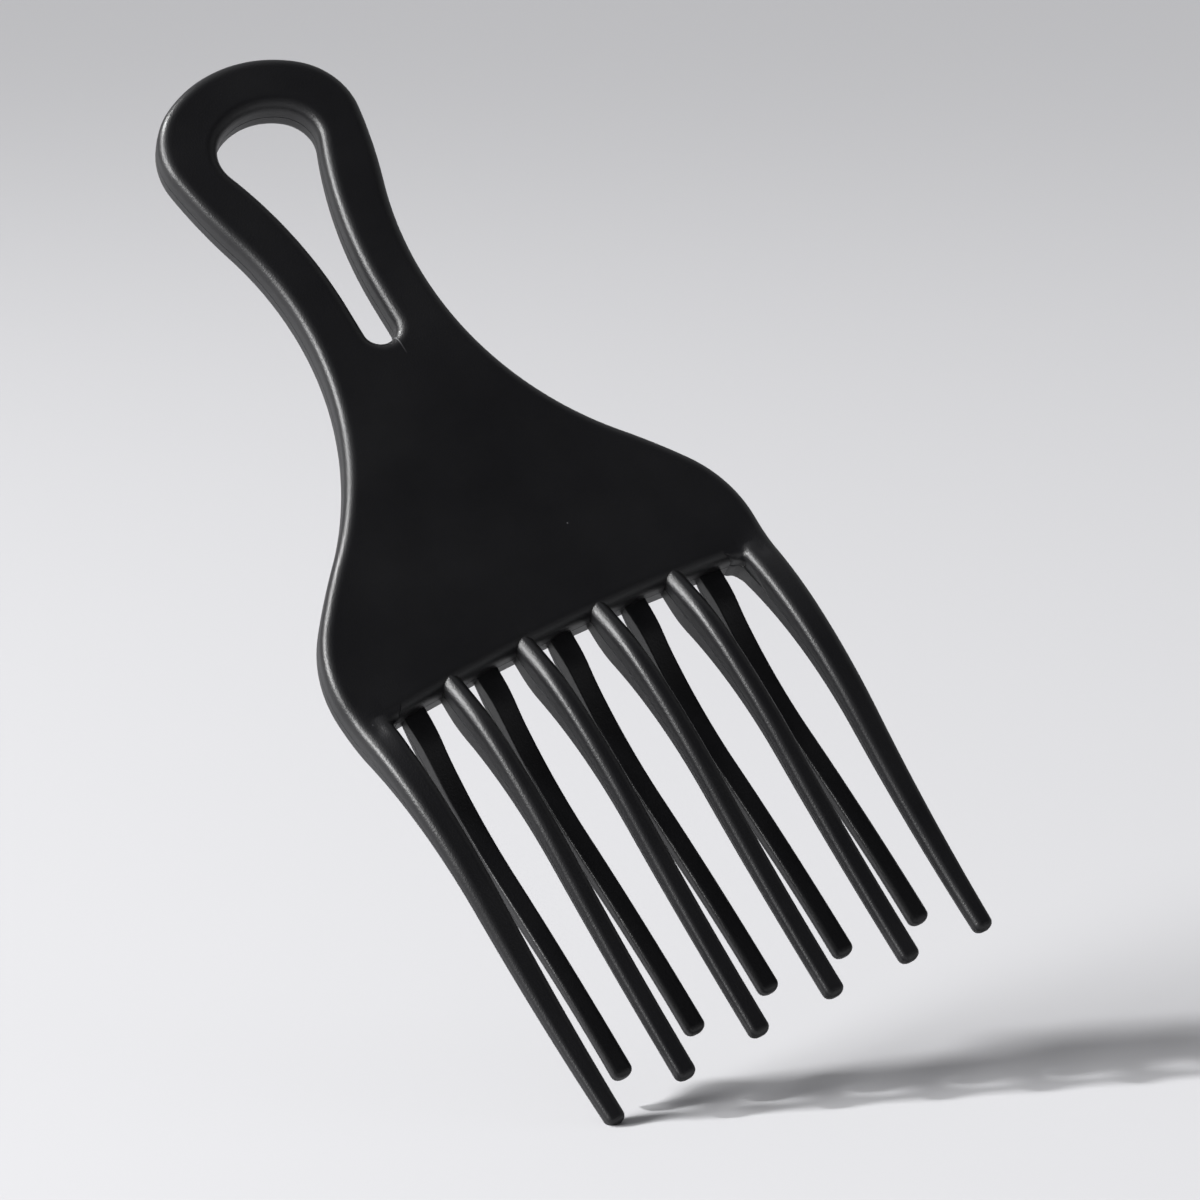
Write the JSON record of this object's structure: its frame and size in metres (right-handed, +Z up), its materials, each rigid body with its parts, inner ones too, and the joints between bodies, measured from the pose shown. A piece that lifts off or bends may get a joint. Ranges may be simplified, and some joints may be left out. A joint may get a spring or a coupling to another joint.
{
  "type": "afro pick",
  "caption": "Plastic hair pick with a teardrop loop handle, a flared shoulder and two staggered rows of long bowed teeth for lifting and detangling curly hair.",
  "frame": {"origin": "middle of the bottom of the bounding box, level with the tips of the outer front teeth", "axes": "+X to the right seen from the front, -Y out of the front face, +Z up along the teeth to the loop"},
  "size_m": [0.0726, 0.0149, 0.1753],
  "materials": {
    "plastic": "satin moulded black"
  },
  "bodies": {
    "root": {"handle_plate": "plastic", "front_tooth_1": "plastic", "front_tooth_2": "plastic", "front_tooth_3": "plastic", "front_tooth_4": "plastic", "front_tooth_5": "plastic", "front_tooth_6": "plastic", "back_tooth_1": "plastic", "back_tooth_2": "plastic", "back_tooth_3": "plastic", "back_tooth_4": "plastic", "back_tooth_5": "plastic"}
  },
  "joints": []
}
